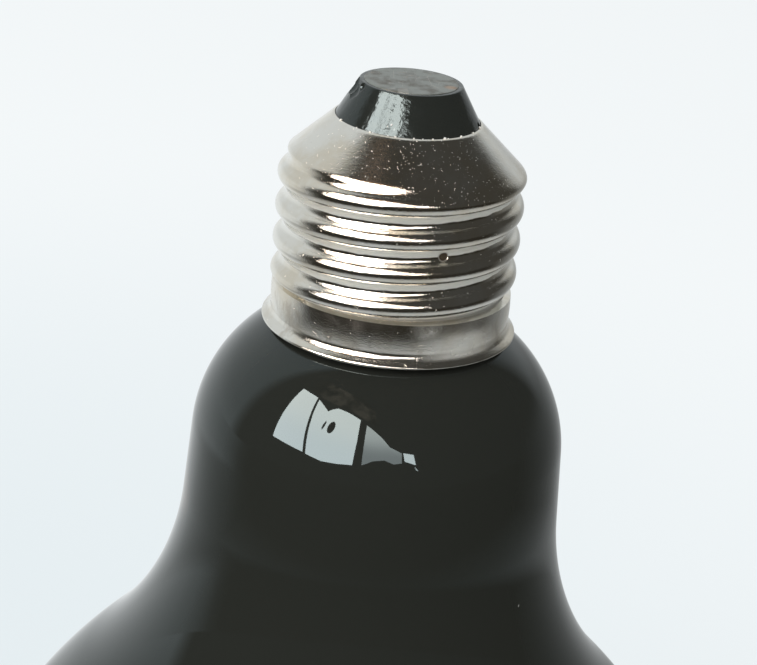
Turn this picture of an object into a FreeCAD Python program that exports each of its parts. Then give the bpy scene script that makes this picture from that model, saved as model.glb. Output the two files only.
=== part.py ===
import FreeCAD, Part

import os
from math import atan2, cos, pi, radians, sin, sqrt, tan

import Sketcher

# Reflector lamp of opaque black glass with a 27 mm screw cap, standing on its domed face.
# The origin is the middle of that face and +Z runs up the lamp's axis to the contact plate.
# The glass is drawn with its heights from the face. The cap's pieces are drawn with their
# heights from the cap's rim, and their placement lifts them by the length of the glass.

DRIVING = {
    # glass envelope
    "glass_length": 109.0,  # face to cap rim
    "bulb_diameter": 95.0,
    "face_flat_diameter": 16.0,
    "face_dome_radius": 95.0,
    "face_corner_radius": 22.0,
    "flare_radius": 35.0,  # hollow curve that opens from the neck into the bowl
    "flare_depth": 21.2,  # rim down to the start of the flare
    "neck_draft": 3.5,
    "neck_diameter": 40.8,
    "shoulder_radius": 16.1,
    "shoulder_depth": 14.0,  # rim down to the centre of the shoulder's curve
    # closed end of the glass, inside the cap
    "seal_neck_diameter": 21.8,
    "seal_radius": 7.4,
    "seal_tip_height": 1.5,
    "seal_clearance": 4.8,  # insulator's foot down to the tip
    # screw shell, pressed and rolled from thin sheet
    "sheet_thickness": 0.35,
    "rim_diameter": 27.4,
    "rim_edge": 0.35,
    "rim_height": 1.2,
    "skirt_diameter": 25.8,
    "skirt_height": 4.5,
    "skirt_shoulder": 0.8,
    "shell_height": 22.9,
    "cone_angle": 43.4,  # slope of the shell's cone, from the horizontal
    "seat_diameter": 15.6,  # top of that cone
    # rolled thread
    "thread_crest_diameter": 26.3,
    "thread_root_diameter": 24.26,
    "thread_pitch": 3.629,
    "thread_depth": 5.1,  # cone's top down to the uppermost crest on the +X side
    "thread_run_in": 0.9,  # turns above that crest, which die away in the cone
    "thread_start": 3.284,  # height of the ridge's lower end, in the skirt on the +X side
    "crest_width": 0.9,
    "flank_width": 2.72,
    "flank_foot": 0.1,  # height of the flank's foot over the root
    "foot_width": 3.2,
    # black glass insulator
    "insulator_height": 3.85,  # stands out of the shell
    "insulator_depth": 2.7,  # moulded inside the shell
    "insulator_top_diameter": 10.8,
    "insulator_base_diameter": 15.2,
    "insulator_wall": 2.0,
    "insulator_web": 2.4,
    "lead_hole_diameter": 2.0,
    # contact plate
    "contact_diameter": 9.9,
    "contact_thickness": 0.45,
    "contact_recess": 0.35,
    "contact_chamfer": 0.12,
    "eyelet_diameter": 1.6,
    # cement between the shell and the glass
    "cement_bottom": 1.3,
    "cement_top": 6.2,
    # lead wires
    "wire_diameter": 0.5,
    "side_lead_spacing": 1.8,  # from the axis, where the wire leaves the glass
    "side_lead_azimuth": -66.0,  # from +X to where the wire meets the shell
    "side_lead_rise": 0.8,
    "side_lead_bend": 1.5,
    "side_lead_slope": 31.0,  # of the run down to the shell, from the horizontal
    "side_lead_gap": 0.2,
}

doc = FreeCAD.newDocument("night_bulb")
sizes = doc.addObject("Spreadsheet::Sheet", "sizes")
for row, (alias, value) in enumerate(DRIVING.items(), start=1):
    sizes.set(f"A{row}", alias.replace("_", " "))
    sizes.set(f"B{row}", str(value))
    sizes.setAlias(f"B{row}", alias)
doc.recompute()

ORIGIN, FIRST, LAST, CENTRE = -1, 1, 2, 3  # a sketch's origin, and the points of its elements
FLAT_AXIS, UP_AXIS = -1, -2


# Radii and heights that more than one piece is drawn from, as expressions of the sheet.

def half(alias):
    return f"sizes.{alias} / 2"


def cone_height(radius):
    """Height of the outside of the shell's cone at a radius."""
    return f"sizes.shell_height - ({radius} - sizes.seat_diameter / 2) * tan(sizes.cone_angle * 1 deg)"


def under_cone(radius):
    """Height of the inside of the shell's cone at a radius."""
    return f"{cone_height(radius)} - sizes.sheet_thickness / cos(sizes.cone_angle * 1 deg)"


ROOT_WALL = "sizes.thread_root_diameter / 2 - sizes.sheet_thickness"
SKIRT_WALL = "sizes.skirt_diameter / 2 - sizes.sheet_thickness"
SHOULDER_TOP = "sizes.skirt_height + sizes.skirt_shoulder"
INSULATOR_TOP = "sizes.shell_height + sizes.insulator_height"
CONTACT_SEAT = f"{INSULATOR_TOP} - sizes.contact_recess"
SEAL_TIP = "sizes.shell_height - sizes.insulator_depth - sizes.seal_clearance"
SEAL_CENTRE = f"{SEAL_TIP} - sizes.seal_tip_height - sizes.seal_radius"


# Sketches

def new_body(name, lifted_by=None, turned_by=None):
    body = doc.addObject("PartDesign::Body", name)
    if turned_by:
        body.Placement = FreeCAD.Placement(FreeCAD.Vector(), FreeCAD.Rotation(FreeCAD.Vector(0, 0, 1), 1))
        body.setExpression("Placement.Rotation.Angle", f"{turned_by} * 1 deg")
    if lifted_by:
        body.setExpression("Placement.Base.z", lifted_by)
    return body


def new_sketch(body, name, plane="XZ_Plane"):
    sketch = body.newObject("Sketcher::SketchObject", name)
    datum = next(item for item in body.Origin.OriginFeatures if item.Role == plane)
    sketch.AttachmentSupport = [(datum, "")]
    sketch.MapMode = "FlatFace"
    return sketch


def constrain(sketch, *terms):
    return sketch.addConstraint(Sketcher.Constraint(*terms))


def laid_out(sketch, kind, *terms):
    """What a dimension measures on the first layout."""
    if kind == "Radius":
        return sketch.Geometry[terms[0]].Radius
    if kind == "Angle":
        edge = sketch.Geometry[terms[0]]
        return atan2(edge.EndPoint.y - edge.StartPoint.y, edge.EndPoint.x - edge.StartPoint.x)
    point = sketch.getPoint(terms[2], terms[3])
    return point.x if kind == "DistanceX" else point.y


def dimension(sketch, expression, *terms):
    """A dimension whose value follows an expression of the sheet."""
    index = constrain(sketch, *terms, laid_out(sketch, *terms))
    sketch.setExpression(f"Constraints[{index}]", expression)


def place(sketch, element, point, radius=None, height=None):
    """Hold a point at a distance from the axis and a height, each an expression or the word axis or base."""
    if radius == "axis":
        constrain(sketch, "PointOnObject", element, point, UP_AXIS)
    elif radius:
        dimension(sketch, radius, "DistanceX", ORIGIN, FIRST, element, point)
    if height == "base":
        constrain(sketch, "PointOnObject", element, point, FLAT_AXIS)
    elif height:
        dimension(sketch, height, "DistanceY", ORIGIN, FIRST, element, point)


def polygon(sketch, corners):
    """A closed outline of straight edges. Its corners find their places when the sketch is solved."""
    start = sketch.GeometryCount
    count = len(corners)
    spots = [FreeCAD.Vector(*on_circle((2, 2), 1, 2 * pi * i / count)) for i in range(count)]
    for i in range(count):
        sketch.addGeometry(Part.LineSegment(spots[i], spots[(i + 1) % count]))
    for i, (radius, height) in enumerate(corners):
        constrain(sketch, "Coincident", start + i, LAST, start + (i + 1) % count, FIRST)
        place(sketch, start + i, FIRST, radius, height)


def line(sketch, start, end):
    return sketch.addGeometry(Part.LineSegment(FreeCAD.Vector(*start), FreeCAD.Vector(*end)))


def arc(sketch, centre, radius, start_angle, end_angle):
    circle = Part.Circle(FreeCAD.Vector(*centre), FreeCAD.Vector(0, 0, 1), radius)
    return sketch.addGeometry(Part.ArcOfCircle(circle, start_angle, end_angle))


def on_circle(centre, radius, angle):
    return centre[0] + radius * cos(angle), centre[1] + radius * sin(angle)


def revolve(body, sketch, kind="PartDesign::Revolution"):
    turned = body.newObject(kind, f"{sketch.Name}_turned")
    turned.Profile = sketch
    turned.ReferenceAxis = (sketch, ["V_Axis"])
    turned.Angle = 360
    body.Tip = turned
    return turned


# Glass envelope: one blown piece, from the domed face to the sealed tip inside the cap.

def glass_envelope():
    body = new_body("glass_envelope")
    sketch = new_sketch(body, "glass_outline")
    value = sizes.get

    # first layout, each tangent point worked out from the one before it
    rim = value("glass_length")
    draft = radians(value("neck_draft"))
    shoulder, flare = value("shoulder_radius"), value("flare_radius")
    seal_radius, seal_side = value("seal_radius"), value("seal_neck_diameter") / 2
    widest, corner, dome = value("bulb_diameter") / 2, value("face_corner_radius"), value("face_dome_radius")
    flat = value("face_flat_diameter") / 2

    shoulder_centre = (value("neck_diameter") / 2 - shoulder * cos(draft), rim - value("shoulder_depth"))
    neck_top = on_circle(shoulder_centre, shoulder, draft)
    flare_height = rim - value("flare_depth")
    neck_foot = (neck_top[0] + (neck_top[1] - flare_height) * tan(draft), flare_height)
    flare_centre = on_circle(neck_foot, flare, draft)
    dome_centre = (0.0, sqrt(dome**2 - flat**2))
    corner_reach = sqrt((dome - corner) ** 2 - (widest - corner) ** 2)
    widest_height = dome_centre[1] - corner_reach
    corner_centre = (widest - corner, widest_height)
    rise, reach = flare_centre[1] - widest_height, flare_centre[0] - widest
    bowl = (reach**2 + rise**2 - flare**2) / (2 * (flare - reach))
    bowl_centre = (widest - bowl, widest_height)
    steepest = atan2(rise, flare_centre[0] - bowl_centre[0])
    corner_end = -atan2(corner_reach, widest - corner)
    flat_edge = (flat, 0.0)
    tip = rim + value("shell_height") - value("insulator_depth") - value("seal_clearance")
    seal_centre = (seal_side - seal_radius, tip - value("seal_tip_height") - seal_radius)
    seal_top = on_circle(seal_centre, seal_radius, pi / 2)
    shoulder_start = sqrt(shoulder**2 - (seal_side - shoulder_centre[0]) ** 2)

    shoulder_arc = arc(sketch, shoulder_centre, shoulder, draft, atan2(shoulder_start, seal_side - shoulder_centre[0]))
    neck = line(sketch, neck_foot, neck_top)
    flare_arc = arc(sketch, flare_centre, flare, pi + draft, pi + steepest)
    bowl_arc = arc(sketch, bowl_centre, bowl, 0, steepest)
    corner_arc = arc(sketch, corner_centre, corner, corner_end, 0)
    dome_arc = arc(sketch, dome_centre, dome, atan2(-dome_centre[1], flat), corner_end)
    face = line(sketch, flat_edge, (0, 0))
    axis = line(sketch, (0, 0), (0, tip))
    tip_end = line(sketch, (0, tip), (seal_top[0], tip))
    tip_side = line(sketch, (seal_top[0], tip), seal_top)
    seal_arc = arc(sketch, seal_centre, seal_radius, 0, pi / 2)
    seal_neck = line(
        sketch, (seal_side, seal_centre[1]), (seal_side, shoulder_centre[1] + shoulder_start)
    )

    for first, first_end, second, second_end in (
        (shoulder_arc, FIRST, neck, LAST),
        (neck, FIRST, flare_arc, FIRST),
        (flare_arc, LAST, bowl_arc, LAST),
        (bowl_arc, FIRST, corner_arc, LAST),
        (corner_arc, FIRST, dome_arc, LAST),
        (seal_arc, FIRST, seal_neck, FIRST),
    ):
        constrain(sketch, "Tangent", first, first_end, second, second_end)
    for first, first_end, second, second_end in (
        (dome_arc, FIRST, face, FIRST),
        (face, LAST, axis, FIRST),
        (axis, LAST, tip_end, FIRST),
        (tip_end, LAST, tip_side, FIRST),
        (tip_side, LAST, seal_arc, LAST),
        (seal_neck, LAST, shoulder_arc, LAST),
    ):
        constrain(sketch, "Coincident", first, first_end, second, second_end)
    constrain(sketch, "Coincident", face, LAST, ORIGIN, FIRST)
    constrain(sketch, "Horizontal", bowl_arc, CENTRE, bowl_arc, FIRST)
    constrain(sketch, "Horizontal", tip_end)
    constrain(sketch, "Vertical", tip_side)
    constrain(sketch, "Vertical", seal_neck)
    constrain(sketch, "Vertical", seal_arc, CENTRE, seal_arc, LAST)

    dimension(sketch, "sizes.shoulder_radius", "Radius", shoulder_arc)
    dimension(sketch, "sizes.flare_radius", "Radius", flare_arc)
    dimension(sketch, "sizes.face_corner_radius", "Radius", corner_arc)
    dimension(sketch, "sizes.face_dome_radius", "Radius", dome_arc)
    dimension(sketch, "sizes.seal_radius", "Radius", seal_arc)
    dimension(sketch, "(90 + sizes.neck_draft) * 1 deg", "Angle", neck)
    place(sketch, shoulder_arc, CENTRE, height="sizes.glass_length - sizes.shoulder_depth")
    place(sketch, shoulder_arc, FIRST, radius=half("neck_diameter"))
    place(sketch, neck, FIRST, height="sizes.glass_length - sizes.flare_depth")
    place(sketch, bowl_arc, FIRST, radius=half("bulb_diameter"))
    place(sketch, dome_arc, CENTRE, radius="axis")
    place(sketch, face, FIRST, half("face_flat_diameter"), "base")
    place(sketch, axis, LAST, "axis", f"sizes.glass_length + {SEAL_TIP}")
    place(sketch, seal_arc, CENTRE, height=f"sizes.glass_length + {SEAL_CENTRE}")
    place(sketch, seal_neck, FIRST, radius=half("seal_neck_diameter"))
    doc.recompute()
    revolve(body, sketch)


# Screw shell: the thread's ridge winds up a helix, is trimmed so that it runs out of the skirt
# and dies away under the cone, and is joined to the thin sheet that the rest is pressed from.

def screw_shell():
    body = new_body("screw_shell", lifted_by="sizes.glass_length")
    crest, root = half("thread_crest_diameter"), half("thread_root_diameter")
    middle = "sizes.thread_root_diameter / 2 - sizes.sheet_thickness / 2"
    start = "sizes.thread_start"

    ridge = new_sketch(body, "ridge_section")
    polygon(ridge, [
        (middle, f"{start} - sizes.foot_width / 2"),
        (f"{root} + sizes.flank_foot", f"{start} - sizes.flank_width / 2"),
        (crest, f"{start} - sizes.crest_width / 2"),
        (crest, f"{start} + sizes.crest_width / 2"),
        (f"{root} + sizes.flank_foot", f"{start} + sizes.flank_width / 2"),
        (middle, f"{start} + sizes.foot_width / 2"),
    ])
    doc.recompute()
    thread = body.newObject("PartDesign::AdditiveHelix", "thread_ridge")
    thread.Profile = ridge
    thread.ReferenceAxis = (ridge, ["V_Axis"])
    thread.Mode = "pitch-height-angle"
    thread.setExpression("Pitch", "sizes.thread_pitch")
    top_crest = "sizes.shell_height - sizes.thread_depth"
    thread.setExpression("Height", f"{top_crest} - {start} + sizes.thread_run_in * sizes.thread_pitch")
    body.Tip = thread

    # what is cut away lies between a frame round the whole ridge and the outline that is kept
    trim = new_sketch(body, "thread_trim")
    inside, outside = ROOT_WALL, f"{crest} + sizes.sheet_thickness"
    above = "sizes.shell_height + sizes.thread_pitch"
    polygon(trim, [(inside, "base"), (outside, "base"), (outside, above), (inside, above)])
    quarter, beyond = "sizes.sheet_thickness / 4", f"{crest} + sizes.sheet_thickness / 2"
    polygon(trim, [
        (f"{root} - {quarter}", f"{SHOULDER_TOP} - {quarter}"),
        (f"{half('skirt_diameter')} - {quarter}", f"sizes.skirt_height - {quarter}"),
        (beyond, SHOULDER_TOP),
        (beyond, cone_height(beyond)),
        (f"{root} - {quarter}", cone_height(f"{root} - {quarter}")),
    ])
    doc.recompute()
    revolve(body, trim, "PartDesign::Groove")

    sheet = new_sketch(body, "shell_sheet")
    hole = half("insulator_base_diameter")
    half_sheet = "sizes.sheet_thickness / 2"
    polygon(sheet, [
        (half("rim_diameter"), "base"),
        (half("rim_diameter"), "sizes.rim_edge"),
        (half("skirt_diameter"), "sizes.rim_height"),
        (half("skirt_diameter"), "sizes.skirt_height"),
        (root, SHOULDER_TOP),
        (root, cone_height(root)),
        (half("seat_diameter"), "sizes.shell_height"),
        (hole, "sizes.shell_height"),
        (hole, under_cone(hole)),
        (ROOT_WALL, under_cone(ROOT_WALL)),
        (ROOT_WALL, f"{SHOULDER_TOP} - {half_sheet}"),
        (SKIRT_WALL, f"sizes.skirt_height - {half_sheet}"),
        (SKIRT_WALL, f"sizes.rim_height - {half_sheet}"),
        ("sizes.rim_diameter / 2 - sizes.sheet_thickness", "base"),
    ])
    doc.recompute()
    revolve(body, sheet)


# Insulator: black glass moulded round the shell's top edge, hollow inside, with a hole for the lead.

def insulator():
    body = new_body("insulator", lifted_by="sizes.glass_length")
    sketch = new_sketch(body, "insulator_section")
    base, hole = half("insulator_base_diameter"), half("lead_hole_diameter")
    bottom = "sizes.shell_height - sizes.insulator_depth"
    bottom_radius = (
        "sizes.seat_diameter / 2 + (sizes.insulator_depth - sizes.sheet_thickness"
        " / cos(sizes.cone_angle * 1 deg)) / tan(sizes.cone_angle * 1 deg)"
    )
    polygon(sketch, [
        (hole, CONTACT_SEAT),
        (half("contact_diameter"), CONTACT_SEAT),
        (half("contact_diameter"), INSULATOR_TOP),
        (half("insulator_top_diameter"), INSULATOR_TOP),
        (base, "sizes.shell_height"),
        (base, under_cone(base)),
        (bottom_radius, bottom),
        (f"{bottom_radius} - sizes.insulator_wall", bottom),
        (f"{half('insulator_top_diameter')} - sizes.insulator_wall", f"{CONTACT_SEAT} - sizes.insulator_web"),
        (hole, f"{CONTACT_SEAT} - sizes.insulator_web"),
    ])
    doc.recompute()
    revolve(body, sketch)


# Contact plate: a pressed disc with an eyelet, and the solder that fills the eyelet.

def circle(sketch, expression):
    index = sketch.addGeometry(Part.Circle(FreeCAD.Vector(), FreeCAD.Vector(0, 0, 1), 1.0))
    constrain(sketch, "Coincident", index, CENTRE, ORIGIN, FIRST)
    dimension(sketch, expression, "Radius", index)


def disc(body, sketch, height):
    pad = body.newObject("PartDesign::Pad", f"{body.Name}_disc")
    pad.Profile = sketch
    pad.setExpression("Length", height)
    body.Tip = pad
    doc.recompute()
    return pad


def contact_plate():
    body = new_body("contact_plate", lifted_by=f"sizes.glass_length + {CONTACT_SEAT}")
    sketch = new_sketch(body, "plate_outline", "XY_Plane")
    circle(sketch, half("contact_diameter"))
    circle(sketch, half("eyelet_diameter"))
    doc.recompute()
    pad = disc(body, sketch, "sizes.contact_thickness")
    rim = next(
        f"Edge{i}" for i, edge in enumerate(pad.Shape.Edges, start=1)
        if edge.isClosed() and edge.BoundBox.ZMin > 0 and edge.BoundBox.XMax > sizes.eyelet_diameter
    )
    bevelled = body.newObject("PartDesign::Chamfer", "plate_edge")
    bevelled.Base = (pad, [rim])
    bevelled.setExpression("Size", "sizes.contact_chamfer")
    body.Tip = bevelled


def contact_solder():
    body = new_body("contact_solder", lifted_by=f"sizes.glass_length + {CONTACT_SEAT}")
    sketch = new_sketch(body, "solder_outline", "XY_Plane")
    circle(sketch, half("eyelet_diameter"))
    doc.recompute()
    disc(body, sketch, "sizes.contact_thickness")


# Basing cement: the ring that holds the shell on the glass.

def basing_cement():
    body = new_body("basing_cement", lifted_by="sizes.glass_length")
    sketch = new_sketch(body, "cement_section")
    half_sheet = "sizes.sheet_thickness / 2"
    polygon(sketch, [
        (half("seal_neck_diameter"), "sizes.cement_bottom"),
        (SKIRT_WALL, "sizes.cement_bottom"),
        (SKIRT_WALL, f"sizes.skirt_height - {half_sheet}"),
        (ROOT_WALL, f"{SHOULDER_TOP} - {half_sheet}"),
        (ROOT_WALL, "sizes.cement_top"),
        (half("seal_neck_diameter"), "sizes.cement_top"),
    ])
    doc.recompute()
    revolve(body, sketch)


# Lead wires: one runs up the axis to the solder in the eyelet. The other leaves the glass
# beside it, bends over the closed end and runs down to the inside of the shell.

def centre_lead():
    body = new_body("centre_lead", lifted_by=f"sizes.glass_length + {SEAL_TIP}")
    sketch = new_sketch(body, "centre_lead_section", "XY_Plane")
    circle(sketch, half("wire_diameter"))
    doc.recompute()
    disc(body, sketch, f"{CONTACT_SEAT} - ({SEAL_TIP})")


def side_lead():
    body = new_body("side_lead", "sizes.glass_length", "sizes.side_lead_azimuth")
    path = new_sketch(body, "side_lead_path")
    value = sizes.get
    start, bend, slope = value("side_lead_spacing"), value("side_lead_bend"), radians(value("side_lead_slope"))
    tip = value("shell_height") - value("insulator_depth") - value("seal_clearance")
    high = tip + value("side_lead_rise")
    end = value("thread_root_diameter") / 2 - value("sheet_thickness") - value("side_lead_gap")
    turned = on_circle((start + bend, high), bend, pi / 2 - slope)

    rise = line(path, (start, tip), (start, high))
    over = arc(path, (start + bend, high), bend, pi / 2 - slope, pi)
    fall = line(path, (end, turned[1] - (end - turned[0]) * tan(slope)), turned)
    constrain(path, "Tangent", rise, LAST, over, LAST)
    constrain(path, "Tangent", over, FIRST, fall, LAST)
    constrain(path, "Vertical", rise)
    dimension(path, "sizes.side_lead_bend", "Radius", over)
    dimension(path, "(180 - sizes.side_lead_slope) * 1 deg", "Angle", fall)
    place(path, rise, FIRST, "sizes.side_lead_spacing", SEAL_TIP)
    place(path, rise, LAST, height=f"{SEAL_TIP} + sizes.side_lead_rise")
    place(path, fall, FIRST, radius=f"{ROOT_WALL} - sizes.side_lead_gap")
    doc.recompute()

    section = new_sketch(body, "side_lead_section", "XY_Plane")
    section.setExpression("AttachmentOffset.Base.z", SEAL_TIP)
    ring = section.addGeometry(Part.Circle(FreeCAD.Vector(start, 0, 0), FreeCAD.Vector(0, 0, 1), 1.0))
    constrain(section, "PointOnObject", ring, CENTRE, FLAT_AXIS)
    dimension(section, "sizes.side_lead_spacing", "DistanceX", ORIGIN, FIRST, ring, CENTRE)
    dimension(section, half("wire_diameter"), "Radius", ring)
    doc.recompute()
    pipe = body.newObject("PartDesign::AdditivePipe", "side_lead_pipe")
    pipe.Profile = section
    pipe.Spine = path
    body.Tip = pipe


glass_envelope()
screw_shell()
insulator()
contact_plate()
contact_solder()
basing_cement()
centre_lead()
side_lead()
doc.recompute()

pieces = [item for item in doc.Objects if item.TypeId == "PartDesign::Body"]
for item in doc.Objects:
    if "Invalid" in item.State or "Error" in item.State:
        raise RuntimeError(f"{item.Label} could not be worked out: {item.State}")
    if item.TypeId == "Sketcher::SketchObject" and item.solve() != 0:
        raise RuntimeError(f"{item.Label} has dimensions that do not agree")
for piece in pieces:
    if piece.Shape.isNull() or not piece.Shape.isValid() or len(piece.Shape.Solids) != 1:
        raise RuntimeError(f"{piece.Label} is not one sound solid")

os.makedirs("parts", exist_ok=True)
for piece in pieces:
    piece.Shape.exportStep(f"parts/{piece.Label}.step")
    print(f"{piece.Label}: {piece.Shape.Volume:.2f} mm3, top at {piece.Shape.BoundBox.ZMax:.2f}")
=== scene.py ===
from math import atan2, cos, hypot, pi, radians, sin, sqrt, tan

import bpy
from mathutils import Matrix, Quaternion, Vector, noise


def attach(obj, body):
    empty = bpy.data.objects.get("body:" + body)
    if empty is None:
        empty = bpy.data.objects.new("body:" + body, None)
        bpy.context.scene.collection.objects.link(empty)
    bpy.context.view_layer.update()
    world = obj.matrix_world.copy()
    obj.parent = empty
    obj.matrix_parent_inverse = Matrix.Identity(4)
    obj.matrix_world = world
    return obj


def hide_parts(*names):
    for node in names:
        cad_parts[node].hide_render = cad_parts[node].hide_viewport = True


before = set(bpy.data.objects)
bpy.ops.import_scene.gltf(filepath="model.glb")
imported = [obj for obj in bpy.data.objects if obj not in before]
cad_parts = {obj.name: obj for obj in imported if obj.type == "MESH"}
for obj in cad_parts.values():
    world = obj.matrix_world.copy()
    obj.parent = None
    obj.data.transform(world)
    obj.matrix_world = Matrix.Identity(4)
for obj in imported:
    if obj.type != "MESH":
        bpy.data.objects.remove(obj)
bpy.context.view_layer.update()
print("frame loaded:", len(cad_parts), "nodes")

rimHeight = 0.109  # the cap's rim above the floor; the cap's own heights are counted from it
capMiddle = Vector((0, 0, 0.122))  # the key lamp points at it
threadPitch = 0.003629
topCrest = 0.01795  # height of the top thread crest above the rim, on the +X side


# Camera

cameraFacts = {
    "place": (0.0, -0.217615, 0.194748),
    "aim": (-0.000891, 0.0, 0.107505),
    "roll": 5.566,  # degrees; the lamp leans to the right in the picture
    "lens": 102.79,
    "sensor": 36.0,
}


def makeCamera(facts):
    bpy.ops.object.camera_add(location=facts["place"])
    camera = bpy.context.active_object
    camera.name = "lampCamera"
    sight = Vector(facts["aim"]) - Vector(facts["place"])
    turn = sight.to_track_quat("-Z", "Y") @ Quaternion((0, 0, 1), radians(facts["roll"]))
    camera.rotation_euler = turn.to_euler()
    camera.data.lens = facts["lens"]
    camera.data.sensor_width = facts["sensor"]
    camera.data.clip_start = 0.01
    bpy.context.scene.camera = camera


makeCamera(cameraFacts)
print("camera placed")


# Node helpers

def newMaterial(name):
    material = bpy.data.materials.new(name)
    material.use_nodes = True
    return material


def newNode(tree, kind, **settings):
    node = tree.nodes.new(kind)
    for key, value in settings.items():
        setattr(node, key, value)
    return node


def plug(tree, source, target):
    # a socket is linked, anything else is set as the plain value
    if isinstance(source, bpy.types.NodeSocket):
        tree.links.new(source, target)
    else:
        target.default_value = source


def maths(tree, operation, *values):
    node = newNode(tree, "ShaderNodeMath", operation=operation)
    for value, socket in zip(values, node.inputs):
        plug(tree, value, socket)
    return node.outputs[0]


def times(tree, first, *others):
    # masks and shares multiplied together
    for other in others:
        first = maths(tree, "MULTIPLY", first, other)
    return first


def strongest(tree, first, second):
    return maths(tree, "MAXIMUM", first, second)


def ramp(tree, value, low, high, atLow=0.0, atHigh=1.0, style="SMOOTHSTEP"):
    node = newNode(tree, "ShaderNodeMapRange", interpolation_type=style)
    given = {"Value": value, "From Min": low, "From Max": high, "To Min": atLow, "To Max": atHigh}
    for socket, number in given.items():
        plug(tree, number, node.inputs[socket])
    return node.outputs["Result"]


def falling(tree, value, low, high):
    return ramp(tree, value, low, high, 1.0, 0.0)


def overCap(tree, height, stretch, atLow=0.0, atHigh=1.0):
    # a ramp over a stretch of the cap, between two heights above its rim
    return ramp(tree, height, rimHeight + stretch[0], rimHeight + stretch[1], atLow, atHigh)


def mixColour(tree, share, first, second):
    node = newNode(tree, "ShaderNodeMix", data_type="RGBA")
    plug(tree, share, node.inputs["Factor"])
    plug(tree, first, node.inputs["A"])
    plug(tree, second, node.inputs["B"])
    return node.outputs["Result"]


def colour(red, green, blue):
    return (red, green, blue, 1.0)


def noiseField(tree, where, scale, detail=3.0, roughness=0.5, stretch=None):
    if stretch:
        squeeze = newNode(tree, "ShaderNodeMapping")
        squeeze.inputs["Scale"].default_value = stretch
        plug(tree, where, squeeze.inputs["Vector"])
        where = squeeze.outputs["Vector"]
    node = newNode(tree, "ShaderNodeTexNoise")
    plug(tree, where, node.inputs["Vector"])
    node.inputs["Scale"].default_value = scale
    node.inputs["Detail"].default_value = detail
    node.inputs["Roughness"].default_value = roughness
    return node.outputs["Fac"]


def objectPlace(tree):
    return newNode(tree, "ShaderNodeTexCoord").outputs["Object"]


def axesOf(tree, where):
    node = newNode(tree, "ShaderNodeSeparateXYZ")
    plug(tree, where, node.inputs["Vector"])
    return node.outputs


def heightOf(tree, where):
    return axesOf(tree, where)["Z"]


def underCrest(tree, where):
    # how far a place lies under the thread crest above it, as a share of the pitch
    axes = axesOf(tree, where)
    turn = maths(tree, "ARCTAN2", axes["Y"], axes["X"])
    crest = maths(tree, "MULTIPLY_ADD", turn, 1 / (2 * pi), (rimHeight + topCrest) / threadPitch)
    return maths(tree, "FRACT", maths(tree, "SUBTRACT", crest, maths(tree, "DIVIDE", axes["Z"], threadPitch)))


def nearSpot(tree, where, centre, reach, soft=0.3):
    # 1 inside the spot, falling to 0 at its reach
    node = newNode(tree, "ShaderNodeVectorMath", operation="DISTANCE")
    plug(tree, where, node.inputs[0])
    node.inputs[1].default_value = centre
    return falling(tree, node.outputs["Value"], reach * (1 - soft), reach)


# Shared effects, each a node group that puts out masks

def startGroup(name, inputs, outputs):
    tree = bpy.data.node_groups.new(name, "ShaderNodeTree")
    for label, kind in inputs:
        tree.interface.new_socket(name=label, in_out="INPUT", socket_type=kind)
    for label, kind in outputs:
        tree.interface.new_socket(name=label, in_out="OUTPUT", socket_type=kind)
    return tree, tree.nodes.new("NodeGroupInput"), tree.nodes.new("NodeGroupOutput")


def makeFleckGroup():
    # scattered specks of random size: dust, pits and chipped plating
    tree, given, result = startGroup(
        "fleckField",
        [("Vector", "NodeSocketVector"), ("Scale", "NodeSocketFloat"), ("Share", "NodeSocketFloat"),
         ("Size", "NodeSocketFloat")],
        [("Mask", "NodeSocketFloat")],
    )
    # the cells are pushed about a little, so that the specks aren't round
    wobble = newNode(tree, "ShaderNodeTexNoise")
    wobble.inputs["Detail"].default_value = 1.0
    plug(tree, given.outputs["Vector"], wobble.inputs["Vector"])
    plug(tree, times(tree, given.outputs["Scale"], 2.3), wobble.inputs["Scale"])
    push = newNode(tree, "ShaderNodeVectorMath", operation="SCALE")
    plug(tree, wobble.outputs["Color"], push.inputs[0])
    plug(tree, maths(tree, "DIVIDE", 0.35, given.outputs["Scale"]), push.inputs["Scale"])
    moved = newNode(tree, "ShaderNodeVectorMath", operation="ADD")
    plug(tree, given.outputs["Vector"], moved.inputs[0])
    plug(tree, push.outputs["Vector"], moved.inputs[1])
    cells = newNode(tree, "ShaderNodeTexVoronoi", feature="F1")
    plug(tree, moved.outputs["Vector"], cells.inputs["Vector"])
    plug(tree, given.outputs["Scale"], cells.inputs["Scale"])
    # each cell's random colour says whether it has a speck, and how large
    split = newNode(tree, "ShaderNodeSeparateColor")
    plug(tree, cells.outputs["Color"], split.inputs["Color"])
    chosen = maths(tree, "LESS_THAN", split.outputs["Red"], given.outputs["Share"])
    radius = times(tree, given.outputs["Size"], ramp(tree, split.outputs["Green"], 0.0, 1.0, 0.35, 1.0))
    dot = falling(tree, cells.outputs["Distance"], times(tree, radius, 0.55), radius)
    plug(tree, times(tree, dot, chosen), result.inputs["Mask"])
    return tree


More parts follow.
